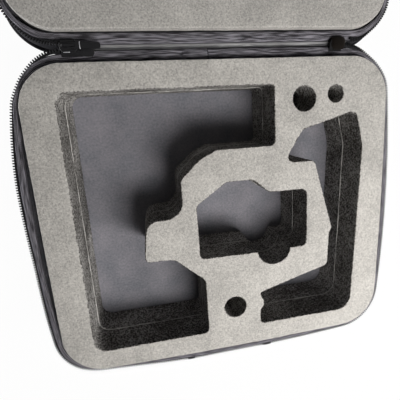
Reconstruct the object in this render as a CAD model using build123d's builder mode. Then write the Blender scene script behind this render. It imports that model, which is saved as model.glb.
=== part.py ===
from build123d import *
import os
from math import asin, atan2, cos, degrees, hypot, radians, sin

os.makedirs("parts", exist_ok=True)

# Soft-sided zipped tool case lying open, base half at the origin, lid half behind it.
# Origin: centre of the base's underside. X along the hinge, +Y toward the hinge, +Z up.

# foam insert
foam_width = 360.0
foam_depth = 310.0
foam_corner = 40.0
layer_height = 38.0
lid_foam_height = 29.85
foam_fit = 1.2
wide_bore = 25.0
narrow_bore = 17.5
left_cut = -90.0
middle_cut = 0.0
back_cut = 90.0
corner_cut = 55.0

# stiffened nylon shell
board_thickness = 3.4
lining_thickness = 0.6
wall_thickness = 3.7
hinge_wall_extra = 4.4
base_foot_bow = 1.5
lid_foot_bow = 4.5
rim_bow = 9.0
piping_width = 1.8
piping_lift = 0.3

# bound rim and zip
rim_drop = 8.0
binding_height = 8.0
binding_thickness = 1.0
binding_crown = 4.0
crown_chamfer = 2.2
tape_thickness = 1.0
tape_height = 5.0
tape_drop = 1.5
coil_width = 2.6
coil_height = 2.4
lap_length = 25.0
lap_end = -9.0
lap_thickness = 0.6

# hinge
hinge_gap = 6.0
parting_gap = 0.3
floor_gap = 0.2
gusset_length = 276.0
gusset_thickness = 0.8
gusset_clearance = 0.3
gusset_depth = 8.0
gusset_seam = 1.0

# zip chain across the hinge gap, its end caps, slider and pull
split_x = 162.0
chain_reach = 150.0
chain_width = 5.0
chain_height = 2.0
chain_foot = 3.0
chain_sag = 0.5
slider_clearance = 0.3
slider_length = 15.0
slider_width = 10.0
slider_plate = 1.2
slider_post = 2.0
cap_gap = 1.0
cap_width = 12.0
cap_lid_reach = 3.8
cap_round = 1.2
left_cap_length = 12.0
right_cap_length = 17.0
left_cap_x = -118.0
right_cap_x = 121.0
bridge_length = 10.6
bridge_width = 2.0
bridge_post = 1.8
bridge_rise = 2.2
bridge_top = 1.0
pull_length = 28.0
pull_width = 5.0
pull_thickness = 1.4
pull_bar = 1.8
pull_clearance = 0.35
slider_travel = 6.0

# carrying handle on the front wall
handle_span = 116.0
handle_drop = 44.0
handle_height = 56.0
handle_standoff = 7.0
handle_bend = 14.0
handle_bar_width = 11.0
handle_bar_depth = 7.0
handle_round = 1.5
grip_length = 76.0
grip_width = 17.0
grip_depth = 15.0
grip_round = 5.0
eye_diameter = 11.0
boss_length = 9.0
pin_diameter = 5.0
pin_clearance = 0.3
mount_width = 24.0
mount_height = 26.0
mount_thickness = 2.4
mount_round = 4.0

# offsets of the shell's faces outward from the foam's edge
lining_inner = foam_fit
lining_outer = lining_inner + lining_thickness
wall_outer = lining_outer + wall_thickness
binding_inner = lining_inner - binding_thickness
binding_outer = wall_outer + binding_thickness
tape_outer = binding_outer + tape_thickness
coil_outer = tape_outer + coil_width

# heights of the two halves, each from its foam's top face down to its underside
base_height = 2 * layer_height + lining_thickness + board_thickness
lid_height = lid_foam_height + lining_thickness + board_thickness

# hinge axis, and how far the open lid droops until its far edge rests on the ground
hinge_y = foam_depth / 2 + binding_outer + hinge_wall_extra + hinge_gap / 2
hinge_z = base_height + parting_gap / 2
lid_reach = hinge_y + foam_depth / 2 + wall_outer + lid_foot_bow + piping_width
lid_drop = lid_height - piping_lift + parting_gap / 2
droop = asin((hinge_z - floor_gap) / hypot(lid_reach, lid_drop)) - atan2(lid_drop, lid_reach)


def from_hinge(out, up):
    """Y and Z of a point given along and square to the open lid, from the hinge axis."""
    y = hinge_y + out * cos(droop) + up * sin(droop)
    z = hinge_z - out * sin(droop) + up * cos(droop)
    return y, z


# each half is built flat, its foam's top face at level 0 and its +Y toward the hinge
base_place = Pos(0, 0, base_height)
lid_origin = (0, *from_hinge(hinge_y, -parting_gap / 2))
lid_place = Plane(lid_origin, x_dir=(-1, 0, 0), z_dir=(0, sin(droop), cos(droop))).location


def outline(level, spread, bow, back=0.0):
    """The foam's outline spread outward, front and sides bowed, the hinge side straight."""
    half_x = foam_width / 2 + spread
    front_y = -foam_depth / 2 - spread
    back_y = foam_depth / 2 + spread + back
    middle_y = (front_y + back_y) / 2
    with BuildSketch(Plane.XY.offset(level)) as face:
        with BuildLine():
            ThreePointArc((-half_x, back_y), (-half_x - bow, middle_y), (-half_x, front_y))
            ThreePointArc((-half_x, front_y), (0, front_y - bow), (half_x, front_y))
            ThreePointArc((half_x, front_y), (half_x + bow, middle_y), (half_x, back_y))
            Line((half_x, back_y), (-half_x, back_y))
        make_face()
        fillet(face.vertices(), foam_corner + spread)
    return face.sketch


def block(bottom, top, spread, bow, back=0.0):
    """An upright slab of the case's outline between two levels."""
    with BuildPart() as slab:
        add(outline(bottom, spread, bow, back))
        extrude(amount=top - bottom)
    return slab.part


def flared_block(floor, spread, foot_bow, back=0.0):
    """A side that leans out from the foot's bow to the rim's, with an upright top."""
    bend = -rim_drop - binding_height
    top = -rim_drop - binding_crown
    with BuildPart() as body:
        add(outline(floor, spread, foot_bow, back))
        add(outline(bend, spread, rim_bow, back))
        loft(ruled=True)
        add(block(bend, top, spread, rim_bow, back))
    return body.part


def make_panel(height, foot_bow):
    floor = -height
    return block(floor, floor + board_thickness, wall_outer, foot_bow, hinge_wall_extra)


def make_piping(height, foot_bow):
    bottom = piping_lift - height
    top = board_thickness - height
    with BuildPart() as piping:
        add(block(bottom, top, wall_outer + piping_width, foot_bow, hinge_wall_extra))
        chamfer(piping.faces().sort_by(Axis.Z)[0].edges(), 0.3 * board_thickness)
        chamfer(piping.faces().sort_by(Axis.Z)[-1].edges(), 0.3 * board_thickness)
        add(block(bottom, top, wall_outer, foot_bow, hinge_wall_extra), mode=Mode.SUBTRACT)
    return piping.part


def make_wall(height, foot_bow):
    floor = board_thickness - height
    with BuildPart() as wall:
        add(flared_block(floor, wall_outer, foot_bow, hinge_wall_extra))
        add(flared_block(floor, lining_outer, foot_bow), mode=Mode.SUBTRACT)
    return wall.part


def make_lining(height, foot_bow):
    floor = board_thickness - height
    with BuildPart() as hollow:
        add(flared_block(floor, lining_inner, foot_bow))
        split(bisect_by=Plane.XY.offset(floor + lining_thickness), keep=Keep.TOP)
    with BuildPart() as lining:
        add(flared_block(floor, lining_outer, foot_bow))
        add(hollow.part, mode=Mode.SUBTRACT)
    return lining.part


def binding_blank(growth):
    """The rolled rim as a solid band, grown outward by a given thickness."""
    foot = -rim_drop - binding_height
    top = growth - rim_drop
    with BuildPart() as band:
        add(block(foot, top, binding_outer + growth, rim_bow, hinge_wall_extra))
        add(block(foot, top, binding_inner, rim_bow), mode=Mode.SUBTRACT)
        chamfer(band.faces().sort_by(Axis.Z)[-1].edges(), crown_chamfer)
    return band.part


def make_binding():
    """The rolled rim, its groove seating the top edge of the wall and the lining."""
    foot = -rim_drop - binding_height
    crown = -rim_drop - binding_crown
    with BuildPart() as groove:
        add(block(foot, crown, wall_outer, rim_bow, hinge_wall_extra))
        add(block(foot, crown, lining_inner, rim_bow), mode=Mode.SUBTRACT)
    with BuildPart() as binding:
        add(binding_blank(0))
        add(groove.part, mode=Mode.SUBTRACT)
    return binding.part


def make_band(middle, height, inner, outer):
    """A band round the rim's front, sides and corners, open along the hinge."""
    bottom = middle - height / 2
    with BuildPart() as band:
        add(block(bottom, bottom + height, outer, rim_bow, hinge_wall_extra))
        add(block(bottom, bottom + height, inner, rim_bow, hinge_wall_extra), mode=Mode.SUBTRACT)
        with BuildSketch(Plane.XY.offset(bottom)):
            with Locations((0, foam_depth / 2)):
                Rectangle(2 * split_x, foam_depth / 2)
        extrude(amount=height, mode=Mode.SUBTRACT)
    return band.part


def rounded_shape(corners):
    """A closed outline of straight sides, each corner given as x, y and its radius."""
    with BuildSketch() as shape:
        with BuildLine():
            Polyline(*[(x, y) for x, y, radius in corners], close=True)
        make_face()
        for x, y, radius in corners:
            fillet(shape.vertices().sort_by_distance(Vector(x, y))[0], radius)
    return shape.sketch


# cut-outs of the foam, measured from its centre: big L, right-hand pocket, centre pocket
big_pocket = rounded_shape([
    (-149.8, 130.5, 12), (-149.8, -134.3, 13), (-27.2, -134.3, 5), (-27.2, -69.5, 8),
    (-58.8, -41.4, 14), (-88.8, -40.4, 5), (-85.5, -14.6, 5), (-82.5, 3.0, 14),
    (-45.2, 3.3, 18), (-45.5, 42.5, 10), (-25.2, 61.5, 16), (-7.0, 70.1, 6),
    (55.0, 70.1, 5), (55.0, 130.5, 4),
])
right_pocket = rounded_shape([
    (85.8, 84.5, 5), (146.5, 101.1, 8), (155.4, 62.0, 20), (147.8, -134.3, 17),
    (34.4, -134.3, 4.5), (34.6, -116.5, 2), (38.6, -111.5, 2), (38.6, -105.0, 2),
    (35.2, -98.5, 2), (35.0, -94.8, 2), (116.8, -72.3, 6), (118.2, -34.4, 3),
    (121.4, -27.0, 3), (99.5, 51.0, 6), (64.7, 51.2, 6),
])
centre_pocket = rounded_shape([
    (-31.1, -44.6, 5), (-31.1, 14.0, 7), (1.4, 36.2, 8), (29.8, 36.2, 10),
    (47.4, 20.9, 6), (90.3, 20.9, 7), (90.3, -44.6, 5),
])
lobe_x = 51.8
lobe_y = -43.0
lobe_radius = 18.9
wide_bores = [(87.3, 115.2), (4.7, -107.8)]
narrow_bore_place = (122.2, 118.6)


# blocks that a layer is divided into, so that collision follows every cut-out: x and y ranges
far = foam_width + foam_depth
foam_blocks = {
    "left_back": (-far, left_cut, middle_cut, far),
    "left_front": (-far, left_cut, -far, middle_cut),
    "back": (left_cut, corner_cut, back_cut, far),
    "corner": (corner_cut, far, back_cut, far),
    "middle": (left_cut, far, -far, back_cut),
}


def foam_slice(bottom, height, block_range):
    """One block of a layer of the cut foam."""
    start_x, end_x, start_y, end_y = block_range
    with BuildPart() as piece:
        with BuildSketch(Plane.XY.offset(bottom)) as face:
            RectangleRounded(foam_width, foam_depth, foam_corner)
            add(big_pocket, mode=Mode.SUBTRACT)
            add(right_pocket, mode=Mode.SUBTRACT)
            add(centre_pocket, mode=Mode.SUBTRACT)
            with Locations((lobe_x, lobe_y)):
                Circle(lobe_radius, mode=Mode.SUBTRACT)
            with Locations(*wide_bores):
                Circle(wide_bore / 2, mode=Mode.SUBTRACT)
            with Locations(narrow_bore_place):
                Circle(narrow_bore / 2, mode=Mode.SUBTRACT)
            with Locations(((start_x + end_x) / 2, (start_y + end_y) / 2)):
                Rectangle(end_x - start_x, end_y - start_y, mode=Mode.INTERSECT)
        extrude(amount=height)
    return piece.part


def save(part, node):
    part.label = node
    export_step(part, "parts/" + node + ".step")


# shell of the base and of the lid
binding = make_binding()
save(base_place * make_panel(base_height, base_foot_bow), "base_panel")
save(base_place * make_piping(base_height, base_foot_bow), "base_piping")
save(base_place * make_wall(base_height, base_foot_bow), "base_wall")
save(base_place * make_lining(base_height, base_foot_bow), "base_lining")
save(base_place * binding, "base_binding")
save(lid_place * make_panel(lid_height, lid_foot_bow), "lid_panel")
save(lid_place * make_piping(lid_height, lid_foot_bow), "lid_piping")
save(lid_place * make_wall(lid_height, lid_foot_bow), "lid_wall")
save(lid_place * make_lining(lid_height, lid_foot_bow), "lid_lining")
save(lid_place * binding, "lid_binding")

# foam, in two bonded layers in the base and one plain pad in the lid
foam_floor = board_thickness + lining_thickness
for name, block_range in foam_blocks.items():
    save(foam_slice(foam_floor, layer_height, block_range), "foam_lower_" + name)
    save(foam_slice(foam_floor + layer_height, layer_height, block_range), "foam_upper_" + name)
with BuildPart() as lid_foam:
    with BuildSketch(Plane.XY.offset(-lid_foam_height)):
        RectangleRounded(foam_width, foam_depth, foam_corner)
    extrude(amount=lid_foam_height)
save(lid_place * lid_foam.part, "lid_foam")

# zip tapes and coils round the two rims
tape_middle = -rim_drop - tape_drop - tape_height / 2
tape = make_band(tape_middle, tape_height, binding_outer, tape_outer)
coil = make_band(tape_middle, coil_height, tape_outer, coil_outer)
for name, place in (("base", base_place), ("lid", lid_place)):
    save(place * tape, name + "_zip_tape")
    save(place * coil, name + "_zip_coil")

# lapped end of the base's binding, on its crown above the gusset's seam
gusset_top = -rim_drop - gusset_seam
gusset_bottom = -rim_drop - gusset_depth
with BuildPart() as lap:
    add(binding_blank(lap_thickness))
    add(binding_blank(0), mode=Mode.SUBTRACT)
    with BuildSketch(Plane.XY.offset(gusset_top)):
        with Locations((lap_end - lap_length / 2, foam_depth / 2 + binding_outer / 2)):
            Rectangle(lap_length, foam_depth / 4)
    extrude(amount=-gusset_top, mode=Mode.INTERSECT)
save(base_place * lap.part, "binding_lap")

# gusset hanging in the hinge gap, sewn to the base's binding
gusset_half = gusset_thickness / 2
gusset_base = hinge_y - hinge_gap / 2 + gusset_half
gusset_lid = hinge_gap / 2 - gusset_clearance - gusset_half
with BuildPart() as gusset:
    with BuildSketch(Plane.YZ.offset(-gusset_length / 2)) as section:
        with BuildLine() as drape:
            Polyline(
                (gusset_base, base_height + gusset_top),
                (gusset_base, base_height + gusset_bottom),
                from_hinge(gusset_lid, gusset_bottom),
                from_hinge(gusset_lid, gusset_top),
            )
            bends = drape.vertices().sort_by(Axis.Y)[:2]
            fillet(bends, 1.5 * gusset_thickness)
        trace(drape.line, line_width=gusset_thickness)
    extrude(amount=gusset_length)
save(gusset.part, "hinge_gusset")

# levels of the closed zip chain that crosses over the hinge gap
crown_z = base_height - rim_drop
slider_floor = crown_z + slider_clearance
chain_floor = slider_floor + slider_plate + slider_clearance
chain_top = chain_floor + chain_height
tape_floor = chain_floor + chain_sag
slider_roof = chain_top + slider_clearance
slider_top = slider_roof + slider_plate
foot_y = hinge_y - slider_width / 2 - slider_clearance - chain_foot / 2
slider_x = left_cap_x - left_cap_length / 2 - cap_gap - slider_length / 2
chain_left = slider_x - slider_length / 2 + slider_post + cap_gap


def cut_rectangle(length, width, cut):
    """A rectangle with its four corners cut off."""
    with BuildSketch() as plate:
        Rectangle(length, width)
        chamfer(plate.vertices(), cut)
    return plate.sketch


def make_chain(start, end):
    """Meshed teeth on a strip of tape whose foot is sewn to the base's rim."""
    middle = (start + end) / 2
    length = end - start
    with BuildPart() as chain:
        with BuildSketch(Plane.XY.offset(chain_floor)):
            with Locations((middle, hinge_y)):
                Rectangle(length, chain_width)
        extrude(amount=chain_height)
        with BuildSketch(Plane.XY.offset(tape_floor)):
            with Locations((middle, (foot_y + hinge_y) / 2)):
                Rectangle(length, hinge_y - foot_y + chain_foot)
        extrude(amount=chain_height - 2 * chain_sag)
        with BuildSketch(Plane.XY.offset(crown_z)):
            with Locations((middle, foot_y)):
                Rectangle(length, chain_foot)
        extrude(amount=chain_top - chain_sag - crown_z)
    return chain.part


def make_cap(middle, length, chain):
    """A fabric end cap folded over the chain, resting on the base's rim."""
    cap_shape = cut_rectangle(length, cap_width, 0.3 * cap_width)
    with BuildPart() as cap:
        with BuildSketch(Plane.XY.offset(crown_z)):
            with Locations((middle, hinge_y + cap_lid_reach - cap_width / 2)):
                add(cap_shape)
        extrude(amount=slider_roof + cap_round - crown_z)
        chamfer(cap.faces().sort_by(Axis.Z)[-1].edges(), cap_round)
        add(chain, mode=Mode.SUBTRACT)
    return cap.part


left_chain = make_chain(chain_left, left_cap_x + left_cap_length / 4)
right_chain = make_chain(right_cap_x - right_cap_length / 4, chain_reach)
save(left_chain, "zip_chain_left")
save(right_chain, "zip_chain_right")
save(make_cap(left_cap_x, left_cap_length, left_chain), "zip_cap_left")
save(make_cap(right_cap_x, right_cap_length, right_chain), "zip_cap_right")

# slider: two plates joined by a post, slotted for the chain and both tapes, bridge on top
bridge_foot = slider_top - slider_plate / 2
bridge_roof = slider_top + bridge_rise + bridge_top
slider_shape = cut_rectangle(slider_length, slider_width, slider_width / 4)
with BuildPart() as slider:
    with BuildSketch(Plane.XY.offset(slider_floor)):
        with Locations((slider_x, hinge_y)):
            add(slider_shape)
    extrude(amount=slider_top - slider_floor)
    chamfer(slider.faces().sort_by(Axis.Z)[-1].edges(), 0.4 * slider_plate)
    with BuildSketch(Plane.XY.offset(chain_floor - slider_clearance)) as channel:
        with Locations((slider_x, hinge_y)):
            Rectangle(slider_length, chain_width + 2 * slider_clearance)
        with Locations((slider_x - slider_length / 2 + slider_post / 2, hinge_y)):
            Rectangle(slider_post, slider_post, mode=Mode.SUBTRACT)
    extrude(amount=chain_height + 2 * slider_clearance, mode=Mode.SUBTRACT)
    with BuildSketch(Plane.XY.offset(tape_floor - slider_clearance)):
        with Locations((slider_x, hinge_y)):
            Rectangle(slider_length, slider_width)
        with Locations((slider_x - slider_length / 2 + slider_post / 2, hinge_y)):
            Rectangle(slider_post, slider_post, mode=Mode.SUBTRACT)
    extrude(amount=chain_height - 2 * chain_sag + 2 * slider_clearance, mode=Mode.SUBTRACT)
    with BuildSketch(Plane.XZ.offset(-hinge_y - bridge_width / 2)):
        with Locations((slider_x, (bridge_foot + bridge_roof) / 2)):
            Rectangle(bridge_length, bridge_roof - bridge_foot)
        with Locations((slider_x, (slider_top + bridge_roof - bridge_top) / 2)):
            Rectangle(bridge_length - 2 * bridge_post, bridge_rise, mode=Mode.SUBTRACT)
    extrude(amount=bridge_width)
    chamfer(slider.edges().filter_by(Axis.Y).group_by(Axis.Z)[-1], 0.8 * bridge_top)
save(slider.part, "zip_slider")

# pull: a flat tab whose end bar turns under the bridge
pull_z = slider_top + bridge_rise / 2
eye_reach = bridge_length / 2 + pull_clearance
eye_start = pull_bar / 2
with BuildPart() as pull:
    with BuildSketch(Plane.XY.offset(pull_z - pull_thickness / 2)):
        with Locations((slider_x - eye_start + pull_length / 2, hinge_y)):
            RectangleRounded(pull_length, pull_width, 0.3 * pull_width)
        with Locations((slider_x + (eye_start + eye_reach) / 2, hinge_y)):
            Rectangle(eye_reach - eye_start, bridge_width + 2 * pull_clearance, mode=Mode.SUBTRACT)
    extrude(amount=pull_thickness)
save(pull.part, "zip_pull")

# handle: a bent bar with a soft grip, its pins turning in two lugs on the front wall
handle_y = -foam_depth / 2 - wall_outer - rim_bow - handle_standoff
boss_x = handle_span / 2 - handle_bar_width / 2 - pin_clearance - boss_length / 2
pin_length = boss_length + pin_clearance + handle_bar_width / 4
handle_plane = Plane.XZ.offset(-handle_y - handle_bar_depth / 2)
with BuildPart() as handle:
    with BuildSketch(handle_plane):
        with BuildLine() as bend:
            Polyline(
                (-handle_span / 2, handle_height),
                (-handle_span / 2, handle_height - handle_drop),
                (handle_span / 2, handle_height - handle_drop),
                (handle_span / 2, handle_height),
            )
            fillet(bend.vertices().sort_by(Axis.Y)[:2], handle_bend)
        trace(bend.line, line_width=handle_bar_width)
    extrude(amount=handle_bar_depth)
    chamfer(handle.faces().filter_by(Axis.Y).edges(), handle_round)
    for side in (-1, 1):
        pin_start = side * (boss_x + boss_length / 2 + pin_clearance + handle_bar_width / 4)
        with BuildSketch(Plane.YZ.offset(pin_start)):
            with Locations((handle_y, handle_height)):
                Circle(pin_diameter / 2)
        extrude(amount=-side * pin_length)
save(handle.part, "carry_handle")

grip_shape = cut_rectangle(grip_depth, grip_width, 0.7 * grip_round)
with BuildPart() as grip:
    with BuildSketch(Plane.YZ.offset(-grip_length / 2)):
        with Locations((handle_y, handle_height - handle_drop)):
            add(grip_shape)
    extrude(amount=grip_length)
    chamfer(grip.faces().filter_by(Axis.X).edges(), handle_round)
    add(handle.part, mode=Mode.SUBTRACT)
save(grip.part, "handle_grip")

# lugs: a plate shaped to the wall, an arm and a bored boss
outside = flared_block(board_thickness - base_height, wall_outer, base_foot_bow, hinge_wall_extra)
lug_back = -handle_y - foam_depth / 2 - lining_inner
for name, side in (("left", -1), ("right", 1)):
    with BuildPart() as lug:
        with BuildSketch(Plane.XZ.offset(foam_depth / 2 + lining_inner)):
            with Locations((side * boss_x, handle_height - mount_height / 4)):
                RectangleRounded(mount_width, mount_height, mount_round)
        extrude(amount=wall_thickness + rim_bow + mount_thickness)
        with BuildSketch(Plane.YZ.offset(side * boss_x - boss_length / 2)):
            with Locations((handle_y, handle_height)):
                Circle(eye_diameter / 2)
            with Locations((handle_y + lug_back / 2, handle_height)):
                Rectangle(lug_back, 0.6 * eye_diameter)
        extrude(amount=boss_length)
        with BuildSketch(Plane.YZ.offset(side * boss_x - boss_length / 2)):
            with Locations((handle_y, handle_height)):
                Circle(pin_diameter / 2 + pin_clearance)
        extrude(amount=boss_length, mode=Mode.SUBTRACT)
        add(base_place * outside, mode=Mode.SUBTRACT)
    save(lug.part, "handle_mount_" + name)
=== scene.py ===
import bmesh
import bpy
import numpy as np
from mathutils import Matrix, Quaternion, Vector
from mathutils.geometry import delaunay_2d_cdt


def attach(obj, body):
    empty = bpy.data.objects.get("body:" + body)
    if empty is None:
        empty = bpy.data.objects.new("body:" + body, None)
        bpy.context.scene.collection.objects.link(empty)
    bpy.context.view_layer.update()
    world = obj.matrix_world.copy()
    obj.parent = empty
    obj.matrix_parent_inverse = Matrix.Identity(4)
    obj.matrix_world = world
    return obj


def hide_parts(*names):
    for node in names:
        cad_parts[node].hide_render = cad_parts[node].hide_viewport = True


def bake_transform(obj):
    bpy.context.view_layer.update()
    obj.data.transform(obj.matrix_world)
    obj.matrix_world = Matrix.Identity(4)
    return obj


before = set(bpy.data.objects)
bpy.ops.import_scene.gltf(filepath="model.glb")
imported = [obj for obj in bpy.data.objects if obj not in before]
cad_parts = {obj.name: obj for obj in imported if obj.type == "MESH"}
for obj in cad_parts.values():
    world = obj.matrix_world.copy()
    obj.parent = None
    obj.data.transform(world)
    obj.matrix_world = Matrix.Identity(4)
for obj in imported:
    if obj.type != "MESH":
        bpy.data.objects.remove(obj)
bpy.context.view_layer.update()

# measures of the case, in millimetres; levels count from the top of a half's foam, bowTop being the one
# from which a wall has the rim's full bow
case = {
    "foamHalfX": 180.0, "foamHalfY": 155.0, "foamCorner": 40.0,
    "rimBow": 9.0, "baseFootBow": 1.5, "lidFootBow": 4.5, "hingeExtra": 4.4,
    "baseHeight": 80.0, "lidHeight": 33.85, "board": 3.4, "foamGap": 0.15,
    "wallInner": 1.8, "wallOuter": 5.5, "bindingOuter": 6.5, "crown": -11.0, "bowTop": -16.0,
    "hingeY": 168.9, "hingeZ": 80.15, "pipingWidth": 1.8, "pipingLift": 0.3, "groundGap": 0.2,
}
# points on the outline's hinge side, a corner, a side and the front
outlineCounts = (150, 40, 120, 150)


def lidTurn():
    # droop of the open lid: its reach and drop from the hinge axis, turned until the far edge is on the ground
    reach = case["hingeY"] + case["foamHalfY"] + case["wallOuter"] + case["lidFootBow"] + case["pipingWidth"]
    drop = case["lidHeight"] - case["pipingLift"] + case["foamGap"]
    return np.arcsin((case["hingeZ"] - case["groundGap"]) / np.hypot(reach, drop)) - np.arctan2(drop, reach)


droop = lidTurn()


def placeBase(p):
    # base's own frame: level 0 at the top of its foam
    return p + np.array([0.0, 0.0, case["baseHeight"]])


def placeLid(p):
    # lid's own frame: x turned round, y towards the hinge, level 0 at the top of its foam
    out = case["hingeY"] - p[..., 1]
    up = p[..., 2] - case["foamGap"]
    y = case["hingeY"] + out * np.cos(droop) + up * np.sin(droop)
    z = case["hingeZ"] - out * np.sin(droop) + up * np.cos(droop)
    return np.stack([-p[..., 0], y, z], axis=-1)


def arcPoints(cx, cy, r, a0, a1, n):
    a = np.linspace(a0, a1, n, endpoint=False)
    return np.column_stack([cx + r * np.cos(a), cy + r * np.sin(a)])


def caseLine(spread, bow, back):
    # closed outline of the case: straight hinge side, three sides that are arcs of sagitta bow,
    # tangent arcs of radius foamCorner + spread at the corners; counter-clockwise from above,
    # from the hinge side's right end
    hx, fy = case["foamHalfX"] + spread, -case["foamHalfY"] - spread
    by = case["foamHalfY"] + spread + back
    my, half, r = (fy + by) / 2, (by - fy) / 2, case["foamCorner"] + spread
    sideR = (half ** 2 + bow ** 2) / (2 * bow)
    frontR = (hx ** 2 + bow ** 2) / (2 * bow)
    side = np.array([-hx - bow + sideR, my])
    front = np.array([0.0, fy - bow + frontR])
    cBack = np.array([side[0] - np.sqrt((sideR - r) ** 2 - (by - r - my) ** 2), by - r])
    d = front - side
    dist = np.hypot(*d)
    a = ((sideR - r) ** 2 - (frontR - r) ** 2 + dist ** 2) / (2 * dist)
    h = np.sqrt((sideR - r) ** 2 - a ** 2)
    e = d / dist
    cFront = side + a * e + h * np.array([-e[1], e[0]])
    nb, nc, ns, nf = outlineCounts
    aBack = np.arctan2(*(cBack - side)[::-1]) % (2 * np.pi)
    aFrontS = np.arctan2(*(cFront - side)[::-1]) % (2 * np.pi)
    aFrontF = np.arctan2(*(cFront - front)[::-1]) % (2 * np.pi)
    top = np.column_stack([np.linspace(-cBack[0], cBack[0], nb, endpoint=False), np.full(nb, by)])
    left = [arcPoints(*cBack, r, np.pi / 2, aBack, nc), arcPoints(*side, sideR, aBack, aFrontS, ns),
            arcPoints(*cFront, r, aFrontS, aFrontF, nc)]
    frontArc = arcPoints(*front, frontR, aFrontF, 3 * np.pi - aFrontF, nf)
    mirror = np.array([-1.0, 1.0])
    rightFrontS, rightBack = 3 * np.pi - aFrontS, 3 * np.pi - aBack
    right = [arcPoints(*(cFront * mirror), r, 3 * np.pi - aFrontF, rightFrontS, nc),
             arcPoints(*(side * mirror), sideR, rightFrontS, rightBack, ns),
             arcPoints(*(cBack * mirror), r, rightBack, 2.5 * np.pi, nc)]
    return np.concatenate([top] + left + [frontArc] + right)


def lineNormals(p):
    # outward normal of a counter-clockwise closed line
    t = np.roll(p, -1, axis=0) - np.roll(p, 1, axis=0)
    t = t / np.maximum(np.hypot(t[:, 0], t[:, 1]), 1e-9)[:, None]
    return np.column_stack([t[:, 1], -t[:, 0]])


def lengths(p):
    # way along a line up to each of its points
    return np.concatenate([[0.0], np.cumsum(np.linalg.norm(np.diff(p, axis=0), axis=1))])


def pointsAt(t, s, p):
    # points of a line at ways t, s being the ways of its own points
    return np.column_stack([np.interp(t, s, p[:, k]) for k in range(p.shape[1])])


def resample(p, step):
    # points along a closed line at even steps of its length
    q = np.concatenate([p, p[:1]])
    s = lengths(q)
    return pointsAt(np.linspace(0.0, s[-1], max(int(round(s[-1] / step)), 8), endpoint=False), s, q)


def atLevel(line, level):
    return np.column_stack([line, np.full(len(line), level)])


def surface(x, y, z):
    return np.stack(np.broadcast_arrays(x, y, z), axis=-1)


def circle(n):
    return np.linspace(0, 2 * np.pi, n, endpoint=False)


def unit(v):
    return v / np.linalg.norm(v, axis=-1, keepdims=True)


def superCircle(n):
    # the curve |x|^3 + |y|^3 = 1, a square with well-rounded corners
    c, s = np.cos(circle(n)), np.sin(circle(n))
    k = (np.abs(c) ** 3 + np.abs(s) ** 3) ** (-1 / 3)
    return k * c, k * s


def softNoise(shape, reach, seed):
    # random field, blurred with a gaussian of reach grid steps each way, unit deviation, periodic
    field = np.random.default_rng(seed).standard_normal(shape)
    freq = np.zeros(shape)
    for axis, r in enumerate(reach):
        f = np.fft.fftfreq(shape[axis])
        view = [1] * len(shape)
        view[axis] = -1
        freq = freq + ((f * r) ** 2).reshape(view)
    field = np.fft.ifftn(np.fft.fftn(field) * np.exp(-2 * np.pi ** 2 * freq)).real
    return (field - field.mean()) / field.std()


def smooth(x):
    t = np.clip(x, 0.0, 1.0)
    return t * t * (3 - 2 * t)


def link(obj):
    bpy.context.scene.collection.objects.link(obj)
    return obj


def makeObject(name, verts, faces, material, body, slot, uv=None, weld=False, replaces=()):
    # verts in mm, faces as an (F, 3 or 4) index array, uv per face corner in metres
    mesh = bpy.data.meshes.new(name)
    verts = np.asarray(verts, dtype=np.float64).reshape(-1, 3) * 0.001
    faces = np.asarray(faces, dtype=np.int32)
    mesh.vertices.add(len(verts))
    mesh.vertices.foreach_set("co", verts.astype(np.float32).ravel())
    size = faces.shape[1]
    mesh.loops.add(faces.size)
    mesh.loops.foreach_set("vertex_index", faces.ravel())
    mesh.polygons.add(len(faces))
    mesh.polygons.foreach_set("loop_start", np.arange(0, faces.size, size, dtype=np.int32))
    mesh.polygons.foreach_set("loop_total", np.full(len(faces), size, dtype=np.int32))
    mesh.polygons.foreach_set("use_smooth", np.ones(len(faces), bool))
    mesh.update(calc_edges=True)
    if uv is not None:
        layer = mesh.uv_layers.new(name="UVMap")
        layer.data.foreach_set("uv", np.asarray(uv, dtype=np.float32).ravel())
    mesh.validate()
    if weld:
        # points that fall together at a pole or a seam become one
        work = bmesh.new()
        work.from_mesh(mesh)
        bmesh.ops.remove_doubles(work, verts=work.verts, dist=2e-6)
        work.to_mesh(mesh)
        work.free()
    mesh.materials.append(material)
    obj = link(bpy.data.objects.new(name, mesh))
    if body:
        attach(obj, body)
    if replaces:
        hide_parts(*replaces)
    return obj


def gridQuads(nu, nv, wrapU, wrapV, start=0):
    # quads of a grid whose point (i, j) has index i * nv + j
    i, j = np.meshgrid(np.arange(nu if wrapU else nu - 1), np.arange(nv if wrapV else nv - 1), indexing="ij")
    i2, j2 = (i + 1) % nu, (j + 1) % nv
    return start + np.stack([i * nv + j, i2 * nv + j, i2 * nv + j2, i * nv + j2], axis=-1).reshape(-1, 4)


def halved(quads):
    return np.concatenate([quads[:, [0, 1, 2]], quads[:, [0, 2, 3]]])


def joinGrids(grids, wrapU, wrapV):
    # many grids of points as one list of points and one of quads
    starts = np.cumsum([0] + [g.shape[0] * g.shape[1] for g in grids])
    quads = [gridQuads(g.shape[0], g.shape[1], wrapU, wrapV, start) for g, start in zip(grids, starts)]
    return np.concatenate([g.reshape(-1, 3) for g in grids]), np.concatenate(quads)


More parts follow.
